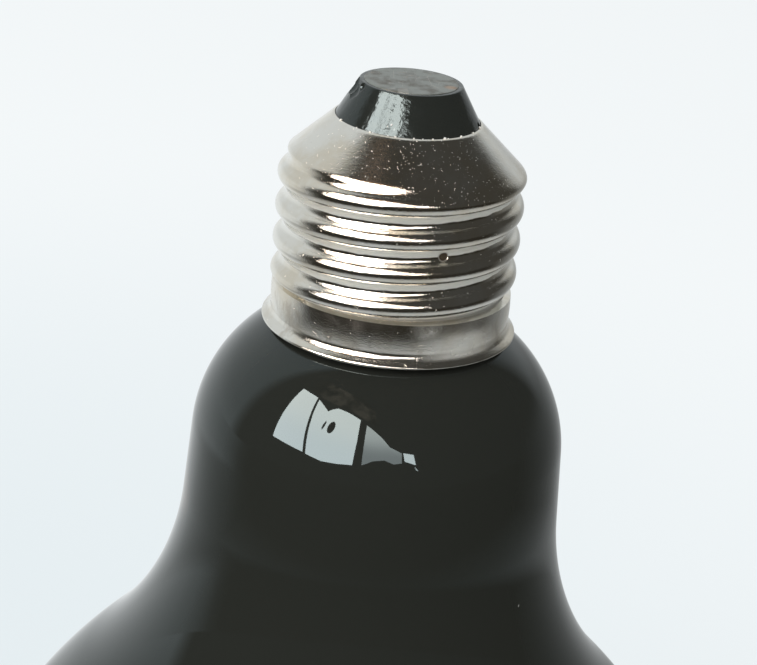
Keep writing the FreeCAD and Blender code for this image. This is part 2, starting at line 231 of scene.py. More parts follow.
def makeScratchGroup():
    # short hair-thin scratches that break off at random
    tree, given, result = startGroup(
        "hairScratches",
        [("Vector", "NodeSocketVector"), ("Scale", "NodeSocketFloat"), ("Width", "NodeSocketFloat"),
         ("Share", "NodeSocketFloat")],
        [("Mask", "NodeSocketFloat")],
    )
    total = None
    for turn, size in ((0.4, 1.0), (1.7, 1.6), (2.6, 0.7)):
        lean = newNode(tree, "ShaderNodeMapping")
        lean.inputs["Rotation"].default_value = (turn, 0.6 * turn, 1.3 * turn)
        lean.inputs["Scale"].default_value = (size, size * 0.22, size)
        plug(tree, given.outputs["Vector"], lean.inputs["Vector"])
        cells = newNode(tree, "ShaderNodeTexVoronoi", feature="DISTANCE_TO_EDGE")
        plug(tree, lean.outputs["Vector"], cells.inputs["Vector"])
        plug(tree, given.outputs["Scale"], cells.inputs["Scale"])
        hair = falling(tree, cells.outputs["Distance"], 0.0, given.outputs["Width"])
        breaks = newNode(tree, "ShaderNodeTexNoise")
        breaks.inputs["Detail"].default_value = 1.0
        plug(tree, lean.outputs["Vector"], breaks.inputs["Vector"])
        plug(tree, times(tree, given.outputs["Scale"], 1.9), breaks.inputs["Scale"])
        low, high = (maths(tree, "SUBTRACT", level, given.outputs["Share"]) for level in (0.72, 0.78))
        stroke = times(tree, hair, ramp(tree, breaks.outputs["Fac"], low, high))
        total = stroke if total is None else strongest(tree, total, stroke)
    plug(tree, total, result.inputs["Mask"])
    return tree


fleckGroup = makeFleckGroup()
scratchGroup = makeScratchGroup()


def flecks(tree, where, scale, share, size):
    node = newNode(tree, "ShaderNodeGroup", node_tree=fleckGroup)
    for label, value in (("Vector", where), ("Scale", scale), ("Share", share), ("Size", size)):
        plug(tree, value, node.inputs[label])
    return node.outputs["Mask"]


def scratches(tree, where, scale, width, share):
    node = newNode(tree, "ShaderNodeGroup", node_tree=scratchGroup)
    for label, value in (("Vector", where), ("Scale", scale), ("Width", width), ("Share", share)):
        plug(tree, value, node.inputs[label])
    return node.outputs["Mask"]


def relief(tree, height, distance, under=None):
    node = newNode(tree, "ShaderNodeBump")
    node.inputs["Distance"].default_value = distance
    plug(tree, height, node.inputs["Height"])
    if under is not None:
        plug(tree, under, node.inputs["Normal"])
    return node.outputs["Normal"]


# Materials

def startMaterial(name):
    # a new material, its tree, its main shader and the place on the piece that patterns follow
    material = newMaterial(name)
    tree = material.node_tree
    return material, tree, tree.nodes["Principled BSDF"], objectPlace(tree)


glassFinish = {
    "body": (0.0195, 0.0205, 0.0172),
    "sheen": (0.72, 0.93, 1.0),
    "bend": 1.46,
    "roughness": 0.02,
    "smearScale": 55.0,
    "smear": 0.03,  # how much rougher the smears are
    "dustScale": 170.0,
    "dustShare": 0.10,
    "dustSize": 0.035,
    "dustTone": (0.32, 0.31, 0.28),
    "streak": (-0.0203, -0.004, 0.0885),  # brownish mark on the left side of the neck
    "streakReach": 0.004,
    "streakTone": (0.10, 0.065, 0.045),
    "waveScale": 60.0,
    "waveDepth": 0.00002,
}


def makeBlackGlass(facts):
    material, tree, surface, where = startMaterial("blackGlass")
    dust = flecks(tree, where, facts["dustScale"], facts["dustShare"], facts["dustSize"])
    smear = ramp(tree, noiseField(tree, where, facts["smearScale"], 4.0, 0.6), 0.52, 0.75)
    streak = nearSpot(tree, where, facts["streak"], facts["streakReach"], 0.8)
    streak = times(tree, streak, noiseField(tree, where, 600.0, 4.0, 0.7, (1, 1, 0.3)))
    body = mixColour(tree, streak, colour(*facts["body"]), colour(*facts["streakTone"]))
    body = mixColour(tree, times(tree, dust, 0.7), body, colour(*facts["dustTone"]))
    plug(tree, body, surface.inputs["Base Color"])
    worn = maths(tree, "MULTIPLY_ADD", smear, facts["smear"], facts["roughness"])
    plug(tree, strongest(tree, worn, times(tree, dust, 0.6)), surface.inputs["Roughness"])
    surface.inputs["IOR"].default_value = facts["bend"]
    surface.inputs["Specular Tint"].default_value = colour(*facts["sheen"])
    waves = noiseField(tree, where, facts["waveScale"], 1.0, 0.4)
    plug(tree, relief(tree, waves, facts["waveDepth"]), surface.inputs["Normal"])
    return material


nickelFinish = {
    "pale": (0.77, 0.76, 0.71),
    "warm": (0.69, 0.64, 0.54),
    "patchScale": 170.0,
    "stain": (0.36, 0.31, 0.25),
    "stainScale": 420.0,
    "stainShare": 0.35,
    # painted reflection: worn is the pale dull grey of the thread's undersides, also used on the skirt's dull
    # patches; edge is the darker grey of the ledge
    "worn": (0.455, 0.460, 0.425),
    "edge": (0.21, 0.21, 0.19),
    "speckTone": (0.86, 0.84, 0.78),
    "smallSpecks": (5200.0, 2.2, 0.30),  # scale, share and size
    "largeSpecks": (2600.0, 0.35, 0.24),
    "hairScale": 700.0,
    "hairWidth": 0.007,
    "roughness": 0.05,
    "grain": (8000.0, 0.000014),  # scale and depth
    "rolled": (1500.0, 0.000005),
    "markDepth": 0.00001,
    # where the cap's parts and marks start and end, as heights above the rim
    "skirtEnd": (0.0044, 0.0050),
    "ledgeStart": (0.00482, 0.00484),
    "ledgeEnd": (0.0051, 0.0054),
    "threadStart": (0.0049, 0.0056),
    "threadEnd": (0.0172, 0.0182),
    "coneStart": (0.0165, 0.0190),
    "patchStart": (0.0006, 0.0010),
    "paintedReflectionEnd": (0.0026, 0.0040),
    # where the thread's dull undersides start and end, as a share of the pitch under each crest
    "flankStart": (0.20, 0.26),
    "flankEnd": (0.46, 0.51),
    "ledgeSide": (-0.0102, -0.0076),  # the ledge's painted reflection isn't laid further left than this
    "paintedReflection": (0.0080, -0.0101, 0.1110),  # a pale dull patch on the skirt, on the front right: painted reflection of the brighter floor there
    "paintedReflectionReach": 0.0068,
    "bloom": (0.0044, -0.0121, 0.1132),
    "bloomReach": 0.0026,
    "weld": (0.00493, -0.01108, 0.12090),  # where the side lead is welded, on the front right
    "weldReach": 0.00060,
    "weldTone": (0.045, 0.034, 0.021),
    "weldDepth": 0.00012,
    "dimpleReach": 0.0010,
    "dimpleDepth": 0.00008,
}


def makeNickel(facts):
    material, tree, surface, where = startMaterial("nickelPlate")
    height = heightOf(tree, where)
    patches = ramp(tree, noiseField(tree, where, facts["patchScale"], 4.0, 0.6), 0.35, 0.7)
    plate = mixColour(tree, patches, colour(*facts["pale"]), colour(*facts["warm"]))

    # mottled stains low on the skirt
    skirt = overCap(tree, height, facts["skirtEnd"], 1.0, 0.0)
    blotch = ramp(tree, noiseField(tree, where, facts["stainScale"], 5.0, 0.65, (1, 1, 0.6)), 0.50, 0.66)
    stained = times(tree, skirt, blotch, facts["stainShare"])
    plate = mixColour(tree, stained, plate, colour(*facts["stain"]))

    # the thread's undersides and the ledge over the skirt are made dull, less metallic grey: painted
    # reflection of the pale floor and backdrop
    sway = ramp(tree, noiseField(tree, where, 600.0, 3.0), 0.2, 0.8, -0.02, 0.02)
    under = maths(tree, "ADD", underCrest(tree, where), sway)
    flank = times(
        tree,
        ramp(tree, under, *facts["flankStart"]),
        falling(tree, under, *facts["flankEnd"]),
        overCap(tree, height, facts["threadStart"]),
        overCap(tree, height, facts["threadEnd"], 1.0, 0.0),
    )
    ledge = times(
        tree,
        overCap(tree, height, facts["ledgeStart"]),
        overCap(tree, height, facts["ledgeEnd"], 1.0, 0.0),
        ramp(tree, axesOf(tree, where)["X"], *facts["ledgeSide"]),
    )

    # dull patches on the skirt; the large one on the front right is painted reflection of the brighter floor
    paintedReflection = times(tree, nearSpot(tree, where, facts["paintedReflection"], facts["paintedReflectionReach"], 1.0), 0.7)
    paintedReflection = times(tree, paintedReflection, overCap(tree, height, facts["paintedReflectionEnd"], 1.0, 0.3))
    smudge = ramp(tree, noiseField(tree, where, 500.0, 4.0, 0.65), 0.35, 0.65, 0.3, 1.0)
    bloom = times(tree, nearSpot(tree, where, facts["bloom"], facts["bloomReach"], 1.0), smudge, 0.4)
    patch = times(tree, strongest(tree, paintedReflection, bloom), skirt, overCap(tree, height, facts["patchStart"]))
    cloud = ramp(tree, noiseField(tree, where, 300.0, 4.0, 0.6, (1, 1, 3)), 0.25, 0.6, 0.6, 1.0)
    dull = strongest(tree, times(tree, strongest(tree, flank, patch), cloud), ledge)
    # the dull places' grey is painted reflection on the undersides, the ledge and the skirt's front-right
    # patch
    dullTone = mixColour(tree, ledge, colour(*facts["worn"]), colour(*facts["edge"]))
    plate = mixColour(tree, dull, plate, dullTone)

    # specks and scratches, most of them on the cone
    drift = ramp(tree, noiseField(tree, where, 260.0, 2.0), 0.42, 0.68, 0.25, 1.5)
    onCone = times(tree, drift, overCap(tree, height, facts["coneStart"], 0.03, 0.15))
    small, large = (flecks(tree, where, scale, times(tree, onCone, share), size)
                    for scale, share, size in (facts["smallSpecks"], facts["largeSpecks"]))
    specks = strongest(tree, small, large)
    hairShare = overCap(tree, height, facts["coneStart"], 0.03, 0.05)
    hairs = scratches(tree, where, facts["hairScale"], facts["hairWidth"], hairShare)
    marks = strongest(tree, specks, hairs)
    plate = mixColour(tree, times(tree, marks, 0.35), plate, colour(*facts["speckTone"]))

    # the weld's brown spot
    spot = nearSpot(tree, where, facts["weld"], facts["weldReach"], 0.35)
    plate = mixColour(tree, spot, plate, colour(*facts["weldTone"]))
    plug(tree, plate, surface.inputs["Base Color"])

    # dull places are less metallic, less shiny and rougher
    matte = strongest(tree, spot, strongest(tree, dull, times(tree, specks, 0.35)))
    plug(tree, maths(tree, "SUBTRACT", 1.0, times(tree, matte, 0.95)), surface.inputs["Metallic"])
    plug(tree, maths(tree, "SUBTRACT", 0.5, times(tree, matte, 0.4)), surface.inputs["Specular IOR Level"])
    least, most = facts["roughness"] - 0.01, facts["roughness"] + 0.06
    rough = ramp(tree, noiseField(tree, where, 900.0, 3.0, 0.6), 0.25, 0.8, least, most)
    for mask, amount in ((skirt, 0.05), (stained, 0.20)):
        rough = maths(tree, "ADD", rough, times(tree, mask, amount))
    for mask, amount in ((marks, 0.30), (dull, 0.45), (spot, 0.8)):
        rough = strongest(tree, rough, times(tree, mask, amount))
    plug(tree, rough, surface.inputs["Roughness"])

    (grainScale, grainDepth), (rolledScale, rolledDepth) = facts["grain"], facts["rolled"]
    bumps = relief(tree, noiseField(tree, where, grainScale, 2.0, 0.6), grainDepth)
    bumps = relief(tree, noiseField(tree, where, rolledScale, 2.0, 0.5, (1, 1, 3.0)), rolledDepth, bumps)
    bumps = relief(tree, marks, -facts["markDepth"], bumps)
    dimple = nearSpot(tree, where, facts["weld"], facts["dimpleReach"], 0.8)
    bumps = relief(tree, dimple, -facts["dimpleDepth"], bumps)
    plug(tree, relief(tree, spot, -facts["weldDepth"], bumps), surface.inputs["Normal"])
    return material


insulatorFinish = {
    "body": (0.0195, 0.0210, 0.0180),
    "sheen": (0.72, 0.93, 1.0),
    "bend": 1.47,
    "roughness": 0.10,
    "haze": 0.10,  # how much rougher the hazy places are
    "gritTone": (0.30, 0.30, 0.29),
    "ripples": (650.0, 0.00006),  # scale and depth
    "orangePeel": (3200.0, 0.000014),
}


def makeInsulatorGlass(facts):
    material, tree, surface, where = startMaterial("insulatorGlass")
    grit = flecks(tree, where, 900.0, 0.10, 0.20)
    body = mixColour(tree, times(tree, grit, 0.5), colour(*facts["body"]), colour(*facts["gritTone"]))
    plug(tree, body, surface.inputs["Base Color"])
    haze = ramp(tree, noiseField(tree, where, 500.0, 4.0, 0.6), 0.4, 0.8, 0.0, facts["haze"])
    plug(tree, maths(tree, "ADD", haze, facts["roughness"]), surface.inputs["Roughness"])
    surface.inputs["IOR"].default_value = facts["bend"]
    surface.inputs["Specular Tint"].default_value = colour(*facts["sheen"])
    (rippleScale, rippleDepth), (peelScale, peelDepth) = facts["ripples"], facts["orangePeel"]
    bumps = relief(tree, noiseField(tree, where, rippleScale, 3.0, 0.55), rippleDepth)
    bumps = relief(tree, noiseField(tree, where, peelScale, 2.0, 0.5), peelDepth, bumps)
    plug(tree, bumps, surface.inputs["Normal"])
    return material


contactFinish = {
    "dull": (0.200, 0.220, 0.205),
    "brown": (0.095, 0.090, 0.078),
    "scratched": (0.36, 0.35, 0.32),
    "copper": (0.40, 0.25, 0.15),
    "wornSpot": (0.0041, -0.0012, 0.13585),  # bare copper
    "wornReach": 0.0009,
    "metallic": 0.45,
    "pits": (1800.0, 0.00003),  # scale and depth
    "hairDepth": 0.00002,
}


def makeContactMetal(facts):
    material, tree, surface, where = startMaterial("contactMetal")
    patches = ramp(tree, noiseField(tree, where, 520.0, 5.0, 0.65), 0.38, 0.74)
    metal = mixColour(tree, patches, colour(*facts["dull"]), colour(*facts["brown"]))
    hairs = scratches(tree, where, 800.0, 0.03, 0.14)
    metal = mixColour(tree, times(tree, hairs, 0.4), metal, colour(*facts["scratched"]))
    worn = nearSpot(tree, where, facts["wornSpot"], facts["wornReach"], 0.7)
    flakes = ramp(tree, noiseField(tree, where, 1300.0, 4.0, 0.6), 0.62, 0.70)
    worn = strongest(tree, worn, times(tree, flakes, 0.5))
    metal = mixColour(tree, times(tree, worn, 0.5), metal, colour(*facts["copper"]))
    plug(tree, metal, surface.inputs["Base Color"])
    surface.inputs["Metallic"].default_value = facts["metallic"]
    plug(tree, ramp(tree, patches, 0.0, 1.0, 0.42, 0.60), surface.inputs["Roughness"])
    pitScale, pitDepth = facts["pits"]
    bumps = relief(tree, noiseField(tree, where, pitScale, 4.0, 0.6), pitDepth)
    plug(tree, relief(tree, hairs, -facts["hairDepth"], bumps), surface.inputs["Normal"])
    return material


def makeGrainy(name, light, dark, metallic, roughness, scale):
    # cement, crumbs, wire: two tones of grain with its own relief
    material, tree, surface, where = startMaterial(name)
    grain = noiseField(tree, where, scale, 4.0, 0.65)
    tone = mixColour(tree, ramp(tree, grain, 0.3, 0.7), colour(*light), colour(*dark))
    plug(tree, tone, surface.inputs["Base Color"])
    surface.inputs["Metallic"].default_value = metallic
    plug(tree, ramp(tree, grain, 0.2, 0.8, roughness - 0.08, roughness + 0.08), surface.inputs["Roughness"])
    plug(tree, relief(tree, grain, 0.04 / scale), surface.inputs["Normal"])
    return material


blackGlass = makeBlackGlass(glassFinish)
nickelPlate = makeNickel(nickelFinish)
insulatorGlass = makeInsulatorGlass(insulatorFinish)
contactMetal = makeContactMetal(contactFinish)
cementGrain = makeGrainy("bakedCement", (0.66, 0.60, 0.50), (0.50, 0.44, 0.35), 0.0, 0.85, 1400.0)
crumbGrain = makeGrainy("cementCrumb", (0.86, 0.86, 0.82), (0.62, 0.61, 0.56), 0.0, 0.80, 3000.0)
wireMetal = makeGrainy("leadWire", (0.66, 0.50, 0.38), (0.55, 0.40, 0.29), 1.0, 0.30, 2500.0)
print("materials made")


# Modelling helpers

def arcPoints(centre, radius, start, end, count):
    # points along an arc, both ends included; angles in radians, from straight out
    step = (end - start) / count
    return [(centre[0] + radius * cos(start + step * i), centre[1] + radius * sin(start + step * i))
            for i in range(count + 1)]


def editAll():
    bpy.ops.object.mode_set(mode="EDIT")
    bpy.ops.mesh.select_all(action="SELECT")


def turnOnAxis(name, outline, segments):
    # the outline is extruded point by point from one vertex, then spun round the lamp's axis
    bpy.ops.object.select_all(action="DESELECT")
    bpy.ops.mesh.primitive_plane_add(size=0.001, location=(outline[0][0], 0, outline[0][1]))
    piece = bpy.context.active_object
    piece.name = piece.data.name = name
    editAll()
    bpy.ops.mesh.merge(type="CENTER")
    for here, there in zip(outline, outline[1:]):
        step = (there[0] - here[0], 0, there[1] - here[1])
        bpy.ops.mesh.extrude_region_move(TRANSFORM_OT_translate={"value": step})
    bpy.ops.mesh.select_all(action="SELECT")
    bpy.ops.mesh.spin(steps=segments, angle=2 * pi, center=(0, 0, 0), axis=(0, 0, 1))
    bpy.ops.mesh.select_all(action="SELECT")
    bpy.ops.mesh.remove_doubles(threshold=0.0000008)  # closes the spin's seam and its poles
    bpy.ops.mesh.normals_make_consistent(inside=False)
    bpy.ops.object.mode_set(mode="OBJECT")
    bpy.ops.object.transform_apply(location=True, rotation=True, scale=True)
    return piece


def applyModifier(piece, kind, **settings):
    modifier = piece.modifiers.new(kind.lower(), kind)
    for key, value in settings.items():
        setattr(modifier, key, value)
    bpy.context.view_layer.objects.active = piece
    bpy.ops.object.modifier_apply(modifier=modifier.name)


def finishPiece(piece, material, nodes=(), sharpAngle=35):
    bpy.ops.object.select_all(action="DESELECT")
    piece.select_set(True)
    bpy.context.view_layer.objects.active = piece
    bpy.ops.object.shade_smooth_by_angle(angle=radians(sharpAngle))
    piece.data.materials.clear()
    piece.data.materials.append(material)
    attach(piece, "root")
    if nodes:
        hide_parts(*nodes)
    print("made", piece.name, len(piece.data.polygons), "faces")


# Glass envelope

envelope = {
    "widest": 0.095,
    "faceFlat": 0.016,
    "faceDome": 0.095,
    "faceCorner": 0.022,
    "flareRadius": 0.035,
    "flareDepth": 0.0212,
    "neckDraft": 3.5,
    "neckWidth": 0.0408,
    "shoulderRadius": 0.0161,
    "shoulderDepth": 0.014,
    "sealWidth": 0.0218,
    "sealRadius": 0.0074,
    "sealTip": 0.0154,  # above the rim
    "sealTipHeight": 0.0015,
    "arcSteps": {"dome": 14, "corner": 16, "bowl": 26, "flare": 26, "shoulder": 34, "seal": 10},
    "segments": 224,
}


def makeEnvelope(facts):
    draft = radians(facts["neckDraft"])
    shoulder, flare = facts["shoulderRadius"], facts["flareRadius"]
    dome, corner, half = facts["faceDome"], facts["faceCorner"], facts["widest"] / 2
    flat, sealSide, sealRound = facts["faceFlat"] / 2, facts["sealWidth"] / 2, facts["sealRadius"]

    shoulderCentre = (facts["neckWidth"] / 2 - shoulder * cos(draft), rimHeight - facts["shoulderDepth"])
    neckTop = (shoulderCentre[0] + shoulder * cos(draft), shoulderCentre[1] + shoulder * sin(draft))
    neckLength = neckTop[1] - rimHeight + facts["flareDepth"]
    neckFoot = (neckTop[0] + neckLength * tan(draft), rimHeight - facts["flareDepth"])
    flareCentre = (neckFoot[0] + flare * cos(draft), neckFoot[1] + flare * sin(draft))
    cornerReach = sqrt((dome - corner) ** 2 - (half - corner) ** 2)
    domeCentre = (0.0, sqrt(dome**2 - flat**2))
    widestHeight = domeCentre[1] - cornerReach
    rise, reach = flareCentre[1] - widestHeight, flareCentre[0] - half
    bowl = (reach**2 + rise**2 - flare**2) / (2 * (flare - reach))
    bowlCentre = (half - bowl, widestHeight)
    steepest = atan2(rise, flareCentre[0] - bowlCentre[0])
    cornerEnd = -atan2(cornerReach, half - corner)
    domeStart = -atan2(domeCentre[1], flat)
    sealCentre = (sealSide - sealRound, rimHeight + facts["sealTip"] - facts["sealTipHeight"] - sealRound)
    sealReach = sealSide - shoulderCentre[0]
    shoulderStart = atan2(sqrt(shoulder**2 - sealReach**2), sealReach)
    tip, steps = rimHeight + facts["sealTip"], facts["arcSteps"]

    outline = [(0.0, 0.0), (flat / 2, 0.0)]
    outline += arcPoints(domeCentre, dome, domeStart, cornerEnd, steps["dome"])
    outline += arcPoints((half - corner, widestHeight), corner, cornerEnd, 0.0, steps["corner"])[1:]
    outline += arcPoints(bowlCentre, bowl, 0.0, steepest, steps["bowl"])[1:]
    outline += arcPoints(flareCentre, flare, pi + steepest, pi + draft, steps["flare"])[1:]
    outline += arcPoints(shoulderCentre, shoulder, draft, shoulderStart, steps["shoulder"])
    outline += arcPoints(sealCentre, sealRound, 0.0, pi / 2, steps["seal"])
    outline += [(sealCentre[0], tip), (0.0, tip)]
    piece = turnOnAxis("glassEnvelope", outline, facts["segments"])
    finishPiece(piece, blackGlass, ["glass_envelope"])


makeEnvelope(envelope)


# Screw shell

shell = {
    "sheet": 0.00035,
    "rim": 0.0274,
    "rimBead": 0.0002,  # radii of the rim's edge and of the flare above it
    "rimFlare": 0.0009,
    "flareAngle": 55,
    "skirt": 0.0258,
    "skirtFoot": 0.00133,
    "skirtTop": 0.00482,
    "skirtBulge": 30.6,  # per metre; the skirt is faintly barrel shaped
    "skirtWaist": 0.0031,
    "ledge": 0.00001,  # the rise from the skirt's top to the thread's foot
    "runOut": 0.0012,  # over which the thread dies away round the skirt's top
    "height": 0.0229,
    "coneAngle": 43.4,
    "seat": 0.0156,
    "crest": 0.0263,
    "root": 0.02425,
    "crestRadius": 0.0012,
    "rootRadius": 0.0009,
    "flankAngle": 54,  # the straight flanks' lean from the cap's axis
    "coneRounding": 0.00045,
    "edgeCurl": 0.00014,  # the top edge turns in round the insulator
    "rimSteps": 10,
    "flareSteps": 12,
    "skirtRings": 16,
    "threadRings": 136,
    "edgeRings": 4,
    "segments": 256,
}


def smoothLower(first, second, width):
    # the lower of two radii, rounded where they cross
    share = min(max(0.5 + 0.5 * (second - first) / width, 0.0), 1.0)
    return second + (first - second) * share - width * share * (1 - share)


def knuckle(facts, angle, height):
    # rolled thread: round crests and roots joined by straight flanks, winding up a helix
    hill, valley, lean = facts["crestRadius"], facts["rootRadius"], radians(facts["flankAngle"])
    rise = height - topCrest - threadPitch * angle / (2 * pi)
    offset = abs((rise + threadPitch / 2) % threadPitch - threadPitch / 2)
    if offset < hill * sin(lean):
        return facts["crest"] / 2 - hill + sqrt(hill**2 - offset**2)
    if offset > threadPitch / 2 - valley * sin(lean):
        return facts["root"] / 2 + valley - sqrt(valley**2 - (threadPitch / 2 - offset) ** 2)
    return facts["crest"] / 2 - hill * (1 - cos(lean)) - (offset - hill * sin(lean)) * tan(lean)


def skirtRadius(facts, height):
    return facts["skirt"] / 2 - facts["skirtBulge"] * (height - facts["skirtWaist"]) ** 2


def shellRadius(facts, angle, height):
    root, top = facts["root"] / 2, facts["skirtTop"]
    cone = facts["seat"] / 2 + (facts["height"] - height) / tan(radians(facts["coneAngle"]))
    if height <= top:
        return skirtRadius(facts, height)
    fade = min(max((height - top + facts["runOut"] / 2) / facts["runOut"], 0.0), 1.0)
    radius = root + (knuckle(facts, angle, height) - root) * fade * fade * (3 - 2 * fade)
    curl = max(height - facts["height"] + facts["edgeCurl"], 0.0) / facts["edgeCurl"]
    return smoothLower(radius, cone, facts["coneRounding"]) - facts["edgeCurl"] * curl * curl


def rimOutline(facts):
    # the rim's rounded edge, a short straight slope and the hollow flare up to the skirt
    bead, flare, slope = facts["rimBead"], facts["rimFlare"], radians(facts["flareAngle"])
    foot = skirtRadius(facts, facts["skirtFoot"])
    beadCentre = (facts["rim"] / 2 - bead, bead)
    run = (foot + flare - beadCentre[0] - (bead + flare) * cos(slope)) / sin(slope)
    flareCentre = (foot + flare, beadCentre[1] + (bead + flare) * sin(slope) - run * cos(slope))
    points = arcPoints(beadCentre, bead, -pi / 2, slope, facts["rimSteps"])
    return points + arcPoints(flareCentre, flare, pi + slope, pi, facts["flareSteps"])


def makeShell(facts):
    outline = rimOutline(facts)
    foot = outline[-1][1]
    top, last, ledge = facts["skirtTop"], facts["height"] - facts["edgeCurl"], facts["ledge"]
    skirtRings, threadRings, edgeRings = facts["skirtRings"], facts["threadRings"], facts["edgeRings"]
    heights = [foot + (top - foot) * i / skirtRings for i in range(1, skirtRings + 1)]
    heights += [top + ledge + (last - top - ledge) * i / threadRings for i in range(threadRings + 1)]
    heights += [last + facts["edgeCurl"] * i / edgeRings for i in range(1, edgeRings + 1)]
    outline += [(facts["skirt"] / 2, height) for height in heights]
    outline = [(radius, rimHeight + height) for radius, height in outline]
    piece = turnOnAxis("screwShell", outline, facts["segments"])
    # above the rim's flare each ring gets its own radius, which follows the thread round
    for vertex in piece.data.vertices:
        height = vertex.co.z - rimHeight
        if height > foot + 0.00001:
            radius = shellRadius(facts, atan2(vertex.co.y, vertex.co.x), height)
            scale = radius / hypot(vertex.co.x, vertex.co.y)
            vertex.co.x *= scale
            vertex.co.y *= scale
    applyModifier(piece, "SOLIDIFY", thickness=facts["sheet"], offset=-1, use_even_offset=True, use_rim=True)
    finishPiece(piece, nickelPlate, ["screw_shell"], sharpAngle=50)


makeShell(shell)


# Insulator

insulator = {
    "top": 0.0108,
    "base": 0.0152,
    "height": 0.00385,
    "plateSeat": 0.00035,
    "plateHole": 0.0099,
    "edgeRound": 0.00018,
    "bodyFoot": -0.0027,
    "wall": 0.002,
    "web": 0.0024,
    "leadHole": 0.002,
    "shellGap": 0.00002,  # between the hidden foot and the shell's inside
    "footInset": 0.00004,
    "edgeSteps": 5,
    "sideRings": 12,
    "segments": 160,
    # shallow chips: angle round the edge, height under the top, radius of the hollow, its depth
    "chips": ((186, 0.0002, 0.0016, 0.00030), (199, 0.0006, 0.0014, 0.00022),
              (208, 0.0001, 0.0009, 0.00016), (172, 0.0009, 0.0015, 0.00022),
              (351, 0.0036, 0.0008, 0.00020)),
    "chipLumps": 0.10,  # how uneven a chip's hollow is, and the scale of its lumps
    "chipScale": 1500,
}


def insulatorRadius(facts, height):
    # outer radius at a height above the shell's top
    return facts["base"] / 2 + (facts["top"] - facts["base"]) / 2 * height / facts["height"]


def makeInsulator(facts):
    foot, top = rimHeight + shell["height"], rimHeight + shell["height"] + facts["height"]
    rings, tall = facts["sideRings"], facts["height"]
    seat, hole, lead = top - facts["plateSeat"], facts["plateHole"] / 2, facts["leadHole"] / 2
    web = seat - facts["web"]
    lean = atan2((facts["base"] - facts["top"]) / 2, facts["height"])
    edge = facts["edgeRound"]
    slope = tan(radians(shell["coneAngle"]))
    under = shell["sheet"] / cos(radians(shell["coneAngle"])) + facts["shellGap"]
    lowRadius = facts["base"] / 2 + (-facts["bodyFoot"] - under) / slope
    corner = (facts["top"] / 2 - edge * tan((pi / 2 - lean) / 2), top - edge)
    outline = [(lead, seat), (hole, seat), (hole, top)]
    outline += arcPoints(corner, edge, pi / 2, lean, facts["edgeSteps"])
    outline += [(insulatorRadius(facts, tall * i / rings), foot + tall * i / rings)
                for i in range(rings - 1, -1, -1)]
    outline += [(facts["base"] / 2 - facts["footInset"], foot - under), (lowRadius, foot + facts["bodyFoot"])]
    outline += [(lowRadius - facts["wall"], foot + facts["bodyFoot"])]
    outline += [(facts["top"] / 2 - facts["wall"], web), (lead, web), (lead, seat)]
    piece = turnOnAxis("capInsulator", outline, facts["segments"])
    for angle, depth, size, bite in facts["chips"]:
        height = facts["height"] - depth
        radius = insulatorRadius(facts, height) + size - bite
        turn = radians(angle)
        bpy.ops.object.select_all(action="DESELECT")
        bpy.ops.mesh.primitive_ico_sphere_add(
            subdivisions=3, radius=size, location=(radius * cos(turn), radius * sin(turn), foot + height)
        )
        cutter = bpy.context.active_object
        for vertex in cutter.data.vertices:
            lump = noise.noise(vertex.co * facts["chipScale"] + Vector((angle, 0, 0)))
            vertex.co *= 1 + facts["chipLumps"] * lump
        applyModifier(piece, "BOOLEAN", operation="DIFFERENCE", solver="EXACT", object=cutter)
        bpy.data.objects.remove(cutter)
    finishPiece(piece, insulatorGlass, ["insulator"], sharpAngle=28)


makeInsulator(insulator)


# Contact plate

plate = {
    "width": 0.0099,
    "eyelet": 0.0016,
    "thick": 0.00045,
    "roundEdge": 0.00010,
    "edgeSteps": 4,
    "rings": 10,
    "segments": 96,
    "dent": 0.00004,  # how deep the top's shallow dents are
    "dentScale": 700,
}


def makePlate(facts):
    bottom = rimHeight + shell["height"] + insulator["height"] - insulator["plateSeat"]
    top, half, hole = bottom + facts["thick"], facts["width"] / 2, facts["eyelet"] / 2
    edge, rings = facts["roundEdge"], facts["rings"]
    outline = [(hole, bottom), (half, bottom), (half, top - edge)]
    outline += arcPoints((half - edge, top - edge), edge, 0.0, pi / 2, facts["edgeSteps"])[1:]
    outline += [(half - edge - (half - edge - hole) * i / rings, top) for i in range(1, rings + 1)]
    outline += [(hole, bottom)]
    piece = turnOnAxis("contactPlate", outline, facts["segments"])
    for vertex in piece.data.vertices:
        radius = hypot(vertex.co.x, vertex.co.y)
        if vertex.co.z > top - edge / 2 and radius > hole * 1.2:
            share = min((radius / hole - 1.2) / 1.5, 1.0)
            dent = 0.5 + 0.5 * noise.noise(vertex.co * facts["dentScale"])
            vertex.co.z -= share * facts["dent"] * dent
    finishPiece(piece, contactMetal, ["contact_plate"])


makePlate(plate)


# Crumbs of cement along the seam of the insulator

crumbs = {
    "name": "seamCrumbs",
    # angle round the seam, size and height above it
    "spots": ((207, 0.00026, 0), (228, 0.00016, 0), (241, 0.00022, 0), (243.5, 0.00013, 0),
              (256, 0.00014, 0), (262, 0.00020, 0), (276, 0.00016, 0), (283, 0.00012, 0),
              (291, 0.00017, 0), (301, 0.00030, 0), (304, 0.00014, 0), (317, 0.00024, 0),
              (333, 0.00018, 0), (349, 0.00030, 0), (20, 0.00022, 0), (64, 0.00018, 0),
              (110, 0.00026, 0), (151, 0.00016, 0), (257, 0.00024, 0.0010), (254, 0.00014, 0.0008)),
    "lumpScale": 9000,
}


